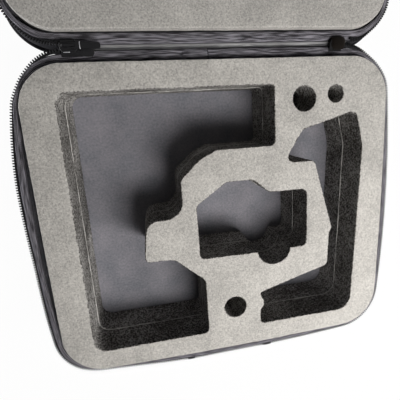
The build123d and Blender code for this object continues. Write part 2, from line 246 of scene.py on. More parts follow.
def gridUv(p, wrapU, wrapV):
    # lengths along the two grid directions, in metres, per face corner
    q = np.concatenate([p, p[:1]]) if wrapU else p
    q = np.concatenate([q, q[:, :1]], axis=1) if wrapV else q
    steps = [np.linalg.norm(np.diff(q, axis=k), axis=-1).mean(axis=1 - k) for k in (0, 1)]
    su, sv = (np.concatenate([[0.0], np.cumsum(step)]) * 0.001 for step in steps)
    i, j = np.meshgrid(np.arange(len(su) - 1), np.arange(len(sv) - 1), indexing="ij")
    corners = [np.stack([su[i + a], sv[j + b]], axis=-1) for a, b in ((0, 0), (1, 0), (1, 1), (0, 1))]
    return np.stack(corners, axis=2).reshape(-1, 2)


def gridPiece(name, p, wrapU, wrapV, material, body, slot, flip=False, **more):
    # a surface given as a grid of points, u first
    if flip:
        p = p[::-1]
    quads = gridQuads(p.shape[0], p.shape[1], wrapU, wrapV)
    return makeObject(name, p, quads, material, body, slot, uv=gridUv(p, wrapU, wrapV), **more)


def closeEnds(p):
    # an open tube of rings, each end drawn in to its middle
    first, last = (np.broadcast_to(p[k].mean(axis=0), p[k].shape)[None] for k in (0, -1))
    return np.concatenate([first, p, last])


def tubePiece(name, rings, material, body, slot, **more):
    # an open tube of rings, closed at both ends
    gridPiece(name, closeEnds(rings), False, True, material, body, slot, weld=True, **more)


# how far the rim's outermost point is drawn in towards the foam, in mm, by direction from the case's middle:
# most at the two corners beside the hinge
rimPull = {
    "angle": (14, 27, 33, 38, 43, 48, 52, 56, 124, 129, 133, 139, 144, 148, 154, 160, 167, 181, 190, 206, 213, 222,
              228, 237, 245, 258, 268, 313, 323, 350),
    "way": (2.5, 3.6, 4.4, 8.2, 9.6, 5.5, 2.0, 0.0, 0.0, 2.6, 5.6, 9.4, 9.8, 5.8, 2.8, 1.0, 0.3, 1.9, 3.0, 2.3, 3.0,
            2.4, 4.0, 3.2, 1.9, 1.1, 2.2, 1.6, 2.4, 2.2),
    "spread": 11.2,
}


def pullIn(line, spread, turn, hold=0.0):
    # a line of the rim moved in by its share of the pull; turn is -1 on the lid, whose x runs the other way
    angle = np.degrees(np.arctan2(line[:, 1], line[:, 0] * turn)) % 360
    way = np.interp(angle, rimPull["angle"], rimPull["way"], period=360)
    window = np.hanning(15)
    way = np.convolve(np.concatenate([way[-6:], way, way[:6]]), window[1:-1] / window.sum(), "valid")
    return line - (way * (1 - hold) * spread / rimPull["spread"])[:, None] * lineNormals(line)


def carry(rows, half, wobble):
    # a profile of (spread, bow, back, level, hold) rows carried round the case outline and moved out by
    # wobble; hold 1 keeps the row from being drawn in
    rings = [atLevel(pullIn(caseLine(spread, bow, back), spread, half["turn"], hold), level)
             for spread, bow, back, level, hold in rows]
    p = np.stack(rings, axis=1)
    p[..., :2] += np.asarray(wobble)[..., None] * lineNormals(p[:, 0, :2])[:, None, :]
    return p


def tubeRound(path, radius, sides, closed=True):
    # a round section carried along a 3-D path, its frame kept upright
    t = unit(np.roll(path, -1, axis=0) - np.roll(path, 1, axis=0) if closed else np.gradient(path, axis=0))
    side = unit(np.cross(t, [0.0, 0.0, 1.0]))
    up = np.cross(side, t)
    a = circle(sides)[None, :, None]
    r = np.broadcast_to(np.asarray(radius, float), (len(path),))[:, None, None]
    return path[:, None, :] + r * (np.cos(a) * side[:, None, :] + np.sin(a) * up[:, None, :])


def newMaterial(name):
    mat = bpy.data.materials.new(name)
    mat.use_nodes = True
    return mat, mat.node_tree, mat.node_tree.nodes["Principled BSDF"]


def newGroup(name, inputs):
    # a node group: a vector and some numbers go in, a shade and a height come out
    tree = bpy.data.node_groups.new(name, "ShaderNodeTree")
    tree.interface.new_socket(name="Vector", in_out="INPUT", socket_type="NodeSocketVector")
    for way, labels in (("INPUT", inputs), ("OUTPUT", ("Shade", "Height"))):
        for label in labels:
            tree.interface.new_socket(name=label, in_out=way, socket_type="NodeSocketFloat")
    return tree, tree.nodes.new("NodeGroupInput"), tree.nodes.new("NodeGroupOutput")


def fill(tree, node, values):
    # inputs by name or number: a socket is linked, any other value is set
    for key, value in values.items():
        socket = node.inputs[key]
        if isinstance(value, bpy.types.NodeSocket):
            tree.links.new(value, socket)
        else:
            socket.default_value = (*value, 1.0) if socket.type == "RGBA" else value
    return node


def addNode(tree, kind, settings=None, **values):
    node = tree.nodes.new(kind)
    for key, value in (settings or {}).items():
        setattr(node, key, value)
    return fill(tree, node, values)


def addMath(tree, operation, a, b=0.5, clamp=False):
    node = addNode(tree, "ShaderNodeMath", {"operation": operation, "use_clamp": clamp})
    return fill(tree, node, {0: a, 1: b}).outputs[0]


def addMix(tree, factor, a, b):
    node = addNode(tree, "ShaderNodeMix", {"data_type": "RGBA"})
    return fill(tree, node, {0: factor, 6: a, 7: b}).outputs[2]


def addNoise(tree, vector, scale, detail, roughness=0.5):
    node = addNode(tree, "ShaderNodeTexNoise", Vector=vector, Scale=scale, Detail=detail, Roughness=roughness)
    return node.outputs["Fac"]


def addBump(tree, height, strength, distance):
    return addNode(tree, "ShaderNodeBump", Height=height, Strength=strength, Distance=distance).outputs[0]


def swing(tree, value, size):
    # a value about one half becomes one about nothing, size times as large
    return addMath(tree, "MULTIPLY", addMath(tree, "SUBTRACT", value, 0.5), size)


def makeFoamGroup():
    # cut foam: fine skin grain, open cells as pits, slow patches
    tree, source, sink = newGroup("foamCells", ("Grain", "Cells", "Pits"))
    vector = source.outputs["Vector"]
    grain = addNoise(tree, vector, source.outputs["Grain"], 3.0, 0.65)
    cells = addNode(tree, "ShaderNodeTexVoronoi", {"feature": "F1"}, Vector=vector,
                    Scale=source.outputs["Cells"], Randomness=1.0)
    near = addMath(tree, "SUBTRACT", 0.55, cells.outputs["Distance"])
    pit = addMath(tree, "MULTIPLY", near, 3.2, clamp=True)
    pit = addMath(tree, "MULTIPLY", pit, addMath(tree, "GREATER_THAN", cells.outputs["Color"], 0.45))
    pit = addMath(tree, "MULTIPLY", pit, source.outputs["Pits"])
    shade = addMath(tree, "ADD", addMath(tree, "SUBTRACT", grain, 0.5),
                    swing(tree, addNoise(tree, vector, 28.0, 2.0), 0.35))
    shade = addMath(tree, "SUBTRACT", shade, addMath(tree, "MULTIPLY", pit, 0.8))
    height = addMath(tree, "SUBTRACT", grain, addMath(tree, "MULTIPLY", pit, 1.3))
    fill(tree, sink, {"Shade": shade, "Height": height})
    return tree


def makeWeaveGroup():
    # plain weave: over-and-under threads from two crossed waves, with loose fibres
    tree, source, sink = newGroup("wovenThreads", ("Pitch", "Fuzz"))
    vector = source.outputs["Vector"]
    split = fill(tree, tree.nodes.new("ShaderNodeSeparateXYZ"), {0: vector})
    turns = addMath(tree, "DIVIDE", 3141.6, source.outputs["Pitch"])
    u, v = (addMath(tree, "SINE", addMath(tree, "MULTIPLY", split.outputs[axis], turns)) for axis in ("X", "Y"))
    cross = addMath(tree, "MULTIPLY", u, v)
    loose = swing(tree, addNoise(tree, vector, 420.0, 3.0), source.outputs["Fuzz"])
    fill(tree, sink, {"Shade": addMath(tree, "ADD", addMath(tree, "MULTIPLY", cross, 0.5), loose),
                      "Height": addMath(tree, "ADD", addMath(tree, "ABSOLUTE", cross), loose)})
    return tree


foamGroup = makeFoamGroup()
weaveGroup = makeWeaveGroup()


def foamMaterial(name, colour, darker, grain, cells, pits, contrast, bump):
    mat, tree, shader = newMaterial(name)
    where = tree.nodes.new("ShaderNodeTexCoord").outputs["Object"]
    group = addNode(tree, "ShaderNodeGroup", {"node_tree": foamGroup}, Vector=where, Grain=grain, Cells=cells,
                    Pits=pits)
    factor = addMath(tree, "ADD", addMath(tree, "MULTIPLY", group.outputs["Shade"], contrast), 0.5, clamp=True)
    fill(tree, shader, {"Base Color": addMix(tree, factor, darker, colour), "Roughness": 0.95,
                        "Specular IOR Level": 0.04, "Normal": addBump(tree, group.outputs["Height"], bump, 0.0006)})
    return mat


def clothMaterial(name, colour, lighter, pitch, bump, roughness=0.85, sheen=0.03, fuzz=0.4, specular=0.12,
                  patchy=0.25, paintedStreak=0.0, where="UV"):
    # woven cloth; the streak paints light and dark lines along the piece: painted shade of the ribs on a ribbed
    # binding, painted sheen on satin
    mat, tree, shader = newMaterial(name)
    spots = tree.nodes.new("ShaderNodeTexCoord").outputs
    group = addNode(tree, "ShaderNodeGroup", {"node_tree": weaveGroup}, Vector=spots[where], Pitch=pitch, Fuzz=fuzz)
    factor = addMath(tree, "ADD", addMath(tree, "MULTIPLY", group.outputs["Shade"], 0.5),
                     swing(tree, addNoise(tree, spots["Object"], 35.0, 3.0), patchy * 2))
    if paintedStreak:
        drawn = addNode(tree, "ShaderNodeMapping", Vector=spots[where], Scale=(60.0, 1300.0, 1.0))
        factor = addMath(tree, "ADD", factor, swing(tree, addNoise(tree, drawn.outputs[0], 1.0, 2.0), paintedStreak * 2))
    factor = addMath(tree, "ADD", factor, 0.4, clamp=True)
    fill(tree, shader, {"Base Color": addMix(tree, factor, colour, lighter), "Roughness": roughness,
                        "Sheen Weight": sheen, "Sheen Roughness": 0.5, "Specular IOR Level": specular,
                        "Normal": addBump(tree, group.outputs["Height"], bump, 0.0003)})
    return mat


def plainMaterial(name, colour, roughness, metallic=0.0, grain=900.0, bump=0.15, specular=0.25):
    # moulded or painted surface: faint grain in the height, slow change in colour and gloss
    mat, tree, shader = newMaterial(name)
    where = tree.nodes.new("ShaderNodeTexCoord").outputs["Object"]
    slow = addNoise(tree, where, 90.0, 3.0)
    lighter = tuple(min(1.0, 1.5 * c + 0.01) for c in colour)
    rough = addMath(tree, "ADD", addMath(tree, "MULTIPLY", slow, 0.2), roughness - 0.1)
    fill(tree, shader, {"Base Color": addMix(tree, slow, colour, lighter), "Roughness": rough,
                        "Metallic": metallic, "Specular IOR Level": specular,
                        "Normal": addBump(tree, addNoise(tree, where, grain, 2.0), bump, 0.0002)})
    return mat


foamSkin = foamMaterial("foamSkin", (0.67, 0.65, 0.615), (0.35, 0.34, 0.325), 620.0, 700.0, 0.2, 2.3, 0.6)
foamCut = foamMaterial("foamCut", (0.57, 0.555, 0.535), (0.06, 0.055, 0.05), 620.0, 560.0, 0.7, 3.6, 1.0)
foamGlue = foamMaterial("foamGlue", (0.80, 0.79, 0.76), (0.45, 0.44, 0.42), 500.0, 300.0, 0.3, 2.0, 0.5)
nylon = ((0.014, 0.014, 0.017), (0.05, 0.049, 0.058), 1.3, 0.5)
nylonShell = clothMaterial("nylonShell", *nylon)
nylonPanel = clothMaterial("nylonPanel", *nylon, where="Object")
# the binding's streak is painted shade of its ribs
nylonBinding = clothMaterial("nylonBinding", (0.034, 0.032, 0.037), (0.310, 0.300, 0.340), 0.9, 0.45, paintedStreak=1.9)
liningCloth = clothMaterial("liningCloth", (0.165, 0.177, 0.202), (0.385, 0.362, 0.398), 0.7, 0.15, sheen=0.0,
                            fuzz=2.2, patchy=0.45)
# black cloth for the lid pad's sides: painted shade for the shadow between the pad and the binding
padShadeCloth = clothMaterial("padShadeCloth", (0.010, 0.010, 0.011), (0.035, 0.034, 0.036), 0.7, 0.3, where="Object")
# the gusset's streak is painted sheen of satin
gussetCloth = clothMaterial("gussetCloth", (0.12, 0.12, 0.128), (0.52, 0.52, 0.53), 0.6, 0.2, 0.42, 0.2, 0.2, 0.4,
                            paintedStreak=1.4)
tapeCloth = clothMaterial("tapeCloth", (0.006, 0.006, 0.007), (0.022, 0.022, 0.024), 0.8, 0.6)
pipingCloth = clothMaterial("pipingCloth", (0.010, 0.010, 0.012), (0.035, 0.035, 0.04), 0.7, 0.4)
capCloth = clothMaterial("capCloth", (0.006, 0.005, 0.0045), (0.020, 0.016, 0.013), 0.6, 0.4, specular=0.03)
coilNylon = plainMaterial("coilNylon", (0.007, 0.007, 0.008), 0.5, bump=0.05, specular=0.08)
threadGrey = plainMaterial("threadGrey", (0.06, 0.06, 0.066), 0.7, specular=0.1)
sliderPaint = plainMaterial("sliderPaint", (0.005, 0.005, 0.006), 0.3, bump=0.08, specular=0.1)
handlePlastic = plainMaterial("handlePlastic", (0.012, 0.012, 0.013), 0.5, bump=0.25, specular=0.3)
gripRubber = plainMaterial("gripRubber", (0.014, 0.014, 0.015), 0.75, grain=500.0, bump=0.5, specular=0.15)
rivetMetal = plainMaterial("rivetMetal", (0.25, 0.25, 0.26), 0.3, metallic=1.0, bump=0.05, specular=0.5)
print("materials ready")


# camera at the photograph's viewing place, from the fit of the foam's edges: lengths in metres and picture
# points, the turn as an axis times its angle
view = {
    "place": (-0.0740, 0.1049, 0.4155), "turn": (0.23613, -0.20369, -0.07916),
    "focal": 341.1, "middle": (219.6, 198.1), "picture": 400.0, "sensor": 36.0,
}


def makeCamera():
    camera = link(bpy.data.objects.new("camera", bpy.data.cameras.new("camera")))
    # the fit has y down and z forward, Blender has y up and looks along -z
    flip = Matrix.Diagonal((1.0, -1.0, -1.0))
    axis = Vector(view["turn"])
    turn = flip @ Quaternion(axis.normalized(), axis.length).to_matrix().transposed() @ flip
    camera.matrix_world = Matrix.LocRotScale(Vector(view["place"]), turn.to_quaternion(), None)
    lens = camera.data
    lens.sensor_width, lens.lens = view["sensor"], view["focal"] * view["sensor"] / view["picture"]
    lens.shift_x = 0.5 - view["middle"][0] / view["picture"]
    lens.shift_y = view["middle"][1] / view["picture"] - 0.5
    lens.clip_start = 0.01
    bpy.context.scene.camera = camera


makeCamera()
print("camera ready")


# outlines of the foam's cut-outs, as corners with their radii, in mm from the foam's middle
cutOuts = {
    "big": [
        (-149.8, 130.5, 12), (-149.8, -134.3, 13), (-27.2, -134.3, 5), (-27.2, -69.5, 8),
        (-58.8, -41.4, 14), (-88.8, -40.4, 5), (-85.5, -14.6, 5), (-82.5, 3.0, 14),
        (-45.2, 3.3, 18), (-45.5, 42.5, 10), (-25.2, 61.5, 16), (-7.0, 70.1, 6),
        (55.0, 70.1, 5), (55.0, 130.5, 4)],
    "right": [
        (85.8, 84.5, 5), (146.5, 101.1, 8), (155.4, 62.0, 20), (147.8, -134.3, 17),
        (34.4, -134.3, 4.5), (34.6, -116.5, 2), (38.6, -111.5, 2), (38.6, -105.0, 2),
        (35.2, -98.5, 2), (35.0, -94.8, 2), (116.8, -72.3, 6), (118.2, -34.4, 3),
        (121.4, -27.0, 3), (99.5, 51.0, 6), (64.7, 51.2, 6)],
    "centre": [
        (-31.1, -44.6, 5), (-31.1, 14.0, 7), (1.4, 36.2, 8), (29.8, 36.2, 10),
        (47.4, 20.9, 6), (90.3, 20.9, 7), (90.3, -44.6, 5)],
    "lobe": (51.8, -43.0, 18.9),
    "bores": [(87.3, 115.2, 12.5), (4.7, -107.8, 12.5), (122.2, 118.6, 8.75)],
}


def roundedLine(corners):
    # corners of a polygon, each replaced by a tangent arc of its radius
    out = []
    n = len(corners)
    for k in range(n):
        a, b, c = (np.array(corners[(k + d) % n][:2], float) for d in (-1, 0, 1))
        r = corners[k][2]
        u, v = (a - b) / np.linalg.norm(a - b), (c - b) / np.linalg.norm(c - b)
        half = np.arccos(np.clip(u @ v, -1, 1)) / 2
        centre = b + (u + v) / np.linalg.norm(u + v) * (r / np.sin(half))
        p0, p1 = b + u * r / np.tan(half), b + v * r / np.tan(half)
        a0, a1 = np.arctan2(*(p0 - centre)[::-1]), np.arctan2(*(p1 - centre)[::-1])
        turn = (a1 - a0 + np.pi) % (2 * np.pi) - np.pi
        steps = max(int(abs(turn) * r / 0.8), 4)
        angles = a0 + turn * np.linspace(0, 1, steps)
        out.append(centre + r * np.column_stack([np.cos(angles), np.sin(angles)]))
    return np.concatenate(out)


def clockwise(line):
    area = np.sum(line[:, 0] * np.roll(line[:, 1], -1) - np.roll(line[:, 0], -1) * line[:, 1])
    return line[::-1] if area > 0 else line


def roundLine(x, y, r, start=0.0, sweep=-2 * np.pi, n=60):
    a = start + sweep * np.arange(n) / n
    return np.column_stack([x + r * np.cos(a), y + r * np.sin(a)])


def centreLine():
    # centre pocket with the round lobe joined to its front edge
    line = roundedLine(cutOuts["centre"])
    x, y, r = cutOuts["lobe"]
    edge = cutOuts["centre"][0][1]
    start = np.arcsin((edge - y) / r)
    arc = roundLine(x, y, r, start, -np.pi - 2 * start, 70)
    k = int(np.argmax(np.abs(np.roll(line[:, 0], -1) - line[:, 0])))
    return np.concatenate([line[:k + 1], arc, line[k + 1:]])


def foamEdge(step):
    hx, hy, r = case["foamHalfX"], case["foamHalfY"], case["foamCorner"]
    return resample(roundedLine([(-hx, -hy, r), (hx, -hy, r), (hx, hy, r), (-hx, hy, r)]), step)


def foamLines():
    # the outer edge counter-clockwise, every cut-out clockwise, so that the right-hand side is open air;
    # three sides swell into the bowed wall, by the bow times one less the square of the way from the middle
    outer = foamEdge(foam["step"])
    hx, hy, bow, reach = case["foamHalfX"], case["foamHalfY"], foam["bow"], foam["bowReach"]
    x, y = outer.T
    sideBow = np.where(x > 0, bow["right"], -bow["left"]) * smooth((np.abs(x) - hx + reach) / reach)
    frontBow = bow["front"] * smooth((-y - hy + reach) / reach)
    outer = outer + np.column_stack([sideBow * (1 - (y / hy) ** 2), -frontBow * (1 - (x / hx) ** 2)])
    holes = [roundedLine(cutOuts["big"]), roundedLine(cutOuts["right"]), centreLine()]
    holes += [roundLine(*bore) for bore in cutOuts["bores"]]
    return [resample(line, foam["step"]) for line in [outer] + [clockwise(hole) for hole in holes]]


def insideLines(p, lines):
    # even-odd count of crossings of a ray to the right, for many points at once
    inside = np.zeros(len(p), bool)
    for line in lines:
        a, b = line, np.roll(line, -1, axis=0)
        for start in range(0, len(p), 4000):
            q = p[start:start + 4000]
            cross = (a[None, :, 1] > q[:, None, 1]) != (b[None, :, 1] > q[:, None, 1])
            dy = np.where(b[:, 1] == a[:, 1], 1e-12, b[:, 1] - a[:, 1])
            x = a[None, :, 0] + (q[:, None, 1] - a[None, :, 1]) * ((b[:, 0] - a[:, 0]) / dy)[None, :]
            inside[start:start + 4000] ^= (cross & (q[:, None, 0] < x)).sum(axis=1) % 2 == 1
    return inside


def fillLines(lines, spacing, seed):
    # triangles that fill a flat region with holes: its edge points and a jittered grid between them;
    # out come the points, edge points first, and triangles that face up
    edge = np.concatenate(lines)
    low, high = edge.min(axis=0) + spacing * 0.6, edge.max(axis=0) - spacing * 0.6
    gx, gy = np.meshgrid(np.arange(low[0], high[0], spacing), np.arange(low[1], high[1], spacing), indexing="ij")
    grid = np.column_stack([gx.ravel(), gy.ravel()])
    grid += np.random.default_rng(seed).uniform(-0.25, 0.25, grid.shape) * spacing
    keep = insideLines(grid, lines)
    near = np.zeros(len(grid), bool)
    for start in range(0, len(edge), 400):
        d = grid[:, None, :] - edge[None, start:start + 400, :]
        near |= ((d ** 2).sum(axis=2) < (0.55 * spacing) ** 2).any(axis=1)
    points = np.concatenate([edge, grid[keep & ~near]])
    starts = np.cumsum([0] + [len(line) for line in lines])
    edges = [(int(starts[k] + i), int(starts[k] + (i + 1) % len(line))) for k, line in enumerate(lines)
             for i in range(len(line))]
    out = delaunay_2d_cdt([Vector(p) for p in points], edges, [], 0, 1e-7, True)
    tris = np.array([ids[0] for ids in out[3]])[np.array(out[2])]
    tris = tris[insideLines(points[tris].mean(axis=1), lines)]
    a, b, c = points[tris[:, 0]], points[tris[:, 1]], points[tris[:, 2]]
    down = (b[:, 0] - a[:, 0]) * (c[:, 1] - a[:, 1]) - (b[:, 1] - a[:, 1]) * (c[:, 0] - a[:, 0]) < 0
    tris[down] = tris[down][:, ::-1]
    return points, tris


def slabMesh(lines, rows, spacing, seed):
    # a closed slab: each line carried through rows of (way out along its normal, height), bottom row first,
    # then a fill at the bottom and one at the top; foamDrift moves wall points, foamRelief dents the top
    verts, tris, isWall, low, high, start = [], [], [], [], [], 0
    out, level = np.array(rows).T
    for k, line in enumerate(lines):
        way = out[None, :] + foamDrift(seed, k, len(line), len(rows))
        p = line[:, None, :] + lineNormals(line)[:, None, :] * way[..., None]
        quads = gridQuads(len(line), len(rows), True, False, start)
        tris.append(halved(quads))
        isWall.append(np.full(2 * len(quads), k > 0))
        ids = start + np.arange(len(line)) * len(rows)
        low.append(ids)
        high.append(ids + len(rows) - 1)
        verts.append(surface(p[..., 0], p[..., 1], level).reshape(-1, 3))
        start += len(line) * len(rows)
    verts = np.concatenate(verts)
    for ids, isTop in ((low, False), (high, True)):
        points, faces = fillLines([verts[i][:, :2] for i in ids], spacing, seed)
        edge = np.concatenate(ids)
        names = np.concatenate([edge, start + np.arange(len(points) - len(edge))])
        inner = points[len(edge):]
        height = level[-1] + foamRelief(seed, inner) if isTop else np.full(len(inner), level[0])
        verts = np.concatenate([verts, np.column_stack([inner, height])])
        faces = names[faces]
        tris.append(faces if isTop else faces[:, ::-1])
        isWall.append(np.zeros(len(faces), bool))
        start = len(verts)
    return verts, np.concatenate(tris), np.concatenate(isWall)


foam = {"step": 1.7, "edge": 0.7, "rough": 0.13, "wave": 0.12, "spacing": 3.6, "relief": 0.08, "rows": 20,
        "reliefCells": 96, "reliefReach": 400.0, "bow": {"left": 0.9, "right": 3.0, "front": 2.9}, "bowReach": 45}
# the two layers: level of the bottom and of the top, seed of the noise
foamLayers = {"lower": (4.0, 42.0, 11), "upper": (42.0, 80.0, 57)}


def foamRows(bottom, top, radius, count):
    # bottom edge rounded, wall, top edge rounded
    a = np.linspace(0, np.pi / 2, 4)
    low = [(radius * (np.sin(t) - 1), bottom + radius * (1 - np.cos(t))) for t in a]
    high = [(radius * (np.cos(t) - 1), top - radius * (1 - np.sin(t))) for t in a]
    wall = [(0.0, z) for z in np.linspace(bottom + radius, top - radius, count)[1:-1]]
    return low + wall + high


def foamDrift(seed, k, n, rows):
    # knife marks that run up the cut and fine torn cells; the outer skin and the bores stay calmer
    slow = softNoise((n, 1), (7.0, 0.0), seed + 3 * k)
    fine = softNoise((n, rows), (0.8, 0.8), seed + 3 * k + 1)
    broad = softNoise((n, rows), (9.0, 6.0), seed + 3 * k + 2)
    calm = 0.5 if k == 0 else 0.3 if k > 3 else 0.8
    return calm * (foam["wave"] * (0.6 * slow + 0.5 * broad) + foam["rough"] * fine)


def foamRelief(seed, p):
    # only hollows, so that the closed lid's foam stays clear
    cells = foam["reliefCells"]
    field = softNoise((cells, cells), (2.2, 2.2), seed)
    i, j = np.clip(((p.T / foam["reliefReach"] + 0.5) * cells).astype(int), 0, cells - 1)
    return foam["relief"] * np.minimum(field[i, j] - 1.8, 0.0)


def paintFaces(obj, material, chosen):
    obj.data.materials.append(material)
    obj.data.polygons.foreach_set("material_index", chosen.astype(np.int32))


def makeFoamLayer(which):
    bottom, top, seed = foamLayers[which]
    rows = foamRows(bottom, top, foam["edge"], foam["rows"])
    verts, tris, isWall = slabMesh(foamLines(), rows, foam["spacing"], seed)
    blocks = ["foam_" + which + part for part in ("_left_back", "_left_front", "_back", "_corner", "_middle")]
    obj = makeObject("foam_" + which + "_layer", verts, tris, foamSkin, "base", "foam", replaces=blocks)
    paintFaces(obj, foamCut, isWall)


for which in foamLayers:
    makeFoamLayer(which)

# the bead's section as (way out, height) pairs; it is fullest near the big cut-out's front-left corner
glue = {"section": ((-0.6, -0.95), (0.28, -0.7), (0.5, -0.2), (0.5, 0.25), (0.25, 0.7), (-0.6, 0.95)),
        "fullest": (-150, -134), "reach": 60.0, "leftWall": -140.0, "level": 42.0}


def makeGlueLine():
    # squeezed-out bead where the two layers meet, on every cut wall
    grids = []
    out, level = np.array(glue["section"]).T
    for k, line in enumerate(foamLines()[1:]):
        full = np.exp(-(np.hypot(*(line - glue["fullest"]).T) / glue["reach"]) ** 2)
        broken = np.clip(softNoise((len(line),), (3.0,), 200 + k), -1.2, 1.2)
        swell = np.where(line[:, 0] < glue["leftWall"], 0.4, 0.75) + 0.4 * full + 0.35 * broken
        sway = 0.16 * softNoise((len(line),), (6.0,), 300 + k)
        way = np.where(out > 0, out * swell[:, None], out)
        height = glue["level"] + level * np.clip(swell, 0.2, 2)[:, None] + sway[:, None]
        p = line[:, None, :] + lineNormals(line)[:, None, :] * way[..., None]
        grids.append(surface(p[..., 0], p[..., 1], height))
    makeObject("foam_glue_line", *joinGrids(grids, True, True), foamGlue, "base", "foam")


makeGlueLine()
print("base foam ready")


halves = {
    "base": {"height": case["baseHeight"], "bow": case["baseFootBow"], "place": placeBase, "seed": 400,
             "turn": 1.0, "wallRows": 16},
    "lid": {"height": case["lidHeight"], "bow": case["lidFootBow"], "place": placeLid, "seed": 500,
            "turn": -1.0, "wallRows": 9},
}
outlineSize = len(caseLine(0.0, 1.0, 0.0))


def footShare(level, half):
    # 0 from the foot down, 1 where the wall has its full bow
    floor = case["board"] - half["height"]
    return np.clip((level - floor) / (case["bowTop"] - floor), 0, 1)


def bowAt(level, half):
    return half["bow"] + (case["rimBow"] - half["bow"]) * footShare(level, half)


def ringRows(pairs, half):
    # (spread, level) pairs become rows with the bow of their level, the hinge side's extra and the foot's hold
    inner, outer = case["wallInner"], case["wallOuter"]
    return [(spread, bowAt(level, half), case["hingeExtra"] * np.clip((spread - inner) / (outer - inner), 0, 1),
             level, 1 - footShare(level, half)) for spread, level in pairs]


def dress(which, label, p, material, slot, node):
    # a closed ring of one half, given in that half's own frame
    gridPiece(which + label, halves[which]["place"](p), True, True, material, which, slot, replaces=(which + node,))


def dressOpen(which, label, rings, material, slot):
    # an open run of the zip, likewise
    tubePiece(which + "_zip" + label, halves[which]["place"](rings), material, which, slot,
              replaces=(which + "_" + slot,))


wall = {"foot": 0.6, "top": -12.5, "inset": 0.5, "swell": 0.9, "innerRows": 5, "buckles": 0.45, "creases": 0.15}


def makeWall(which):
    # outer and inner face; the outer one has the soft buckles of padded cloth
    half = halves[which]
    n, floor, top = half["wallRows"], case["board"] - half["height"] - wall["foot"], wall["top"]
    outer = [(case["wallOuter"] - wall["inset"] + wall["swell"] * np.sin(np.pi * k) ** 0.7, floor + (top - floor) * k)
             for k in np.linspace(0, 1, n)]
    inner = [(case["wallInner"], top - (top - floor) * k) for k in np.linspace(0, 1, wall["innerRows"])]
    field = wall["buckles"] * softNoise((outlineSize, n), (9.0, 3.0), half["seed"])
    field = field + wall["creases"] * softNoise((outlineSize, n), (2.5, 1.5), half["seed"] + 1)
    field = field * np.sin(np.pi * np.linspace(0.02, 0.98, n)) ** 0.5
    wobble = np.concatenate([field, np.zeros((outlineSize, len(inner)))], axis=1)
    p = carry(ringRows(outer + inner, half), half, wobble)
    dress(which, "_wall_cloth", p, nylonShell, "shell_nylon", "_wall")


piping = {"spread": 0.35, "level": 1.85, "radius": 1.5, "sides": 12}


def makePiping(which):
    half = halves[which]
    line = caseLine(case["wallOuter"] + piping["spread"], half["bow"], case["hingeExtra"])
    p = tubeRound(atLevel(line, piping["level"] - half["height"]), piping["radius"], piping["sides"])
    dress(which, "_piping_cord", p, pipingCloth, "piping", "_piping")


# spread of the lining's walls, radius where they turn into the floor, the floor's way up from the board
lining = {"spread": 1.25, "bend": 3.0, "lift": 0.6, "wallRows": 14, "spacing": 4.5, "dip": 0.03}


def makeLining(which):
    # walls that round into a floor with slow dips
    half, bend, quarter = halves[which], lining["bend"], 1.57
    floor = case["board"] + lining["lift"] - half["height"]
    levels = np.concatenate([np.linspace(case["crown"], floor + bend, lining["wallRows"]),
                             floor + bend - bend * np.sin(np.linspace(0.3, quarter, 4))])
    angles = np.maximum(0.0, (floor + bend - levels) / bend * quarter)
    p = carry(ringRows(zip(lining["spread"] - bend * (1 - np.cos(angles)), levels), half), half, 0.0)
    points, tris = fillLines([p[:, -1, :2]], lining["spacing"], half["seed"] + 7)
    nu, nv = p.shape[:2]
    names = np.concatenate([np.arange(nu) * nv + nv - 1, nu * nv + np.arange(len(points) - nu)])
    x, y = points[nu:].T
    dips = lining["dip"] * np.sin(x / 23.0 + 0.6 * np.sin(y / 31.0)) * np.sin(y / 27.0)
    verts = np.concatenate([p.reshape(-1, 3), np.column_stack([x, y, floor - 0.05 + dips])])
    faces = np.concatenate([halved(gridQuads(nu, nv, True, False)), names[tris]])
    makeObject(which + "_lining_cloth", half["place"](verts), faces, liningCloth, which, "lining",
               uv=verts[faces.ravel(), :2] * 0.001, replaces=(which + "_lining",))


# the crown's middle and half width, its rise and its ribs, and the rows of the two sides that hang from it
binding = {"ribs": 0.16, "ribCount": 7, "middle": 3.35, "half": 3.15, "rise": 3.0, "wobble": 0.12,
           "outerSide": [(6.45, -16.0), (6.5, -14.5), (6.5, -12.8)],
           "innerSide": [(0.2, -12.8), (0.2, -14.5), (0.25, -16.0)]}


def makeBinding(which):
    # half-round crown with sewn ribs that run round the rim
    half = halves[which]
    a = np.linspace(0, np.pi, 29)
    rib = binding["ribs"] * np.sin(a * binding["ribCount"] * 2)
    crown = [(binding["middle"] + (binding["half"] + r) * np.cos(t),
              case["crown"] + (binding["rise"] + r) * np.sin(t) ** 0.8) for t, r in zip(a, rib)]
    pairs = binding["outerSide"] + crown + binding["innerSide"]
    wobble = binding["wobble"] * softNoise((outlineSize, len(pairs)), (3.0, 2.0), half["seed"] + 3)
    dress(which, "_binding_cloth", carry(ringRows(pairs, half), half, wobble), nylonBinding, "binding", "_binding")


# section of the zip tape, which leaves the binding's outer side: rows of spread and level
tapeRows = ((6.2, -13.6), (7.0, -12.9), (7.9, -12.5), (9.3, -12.3), (9.3, -11.7), (7.9, -11.5), (7.0, -11.2),
            (6.2, -10.6))


def makeTape(which):
    p = carry(ringRows(tapeRows, halves[which]), halves[which], 0.0)
    dressOpen(which, "_cloth", zipTail(p[zipSpan(p[:, 0, :2])], which), tapeCloth, "zip_tape")


zipEnds = {"left": -139.5, "right": 129.0, "rise": 34.0, "level": -5.2, "run": -12.0}
coil = {"spread": 9.2, "pitch": 2.55, "halfWidth": 1.5, "halfHeight": 0.8, "wire": 0.62, "sides": 6, "perTurn": 14}


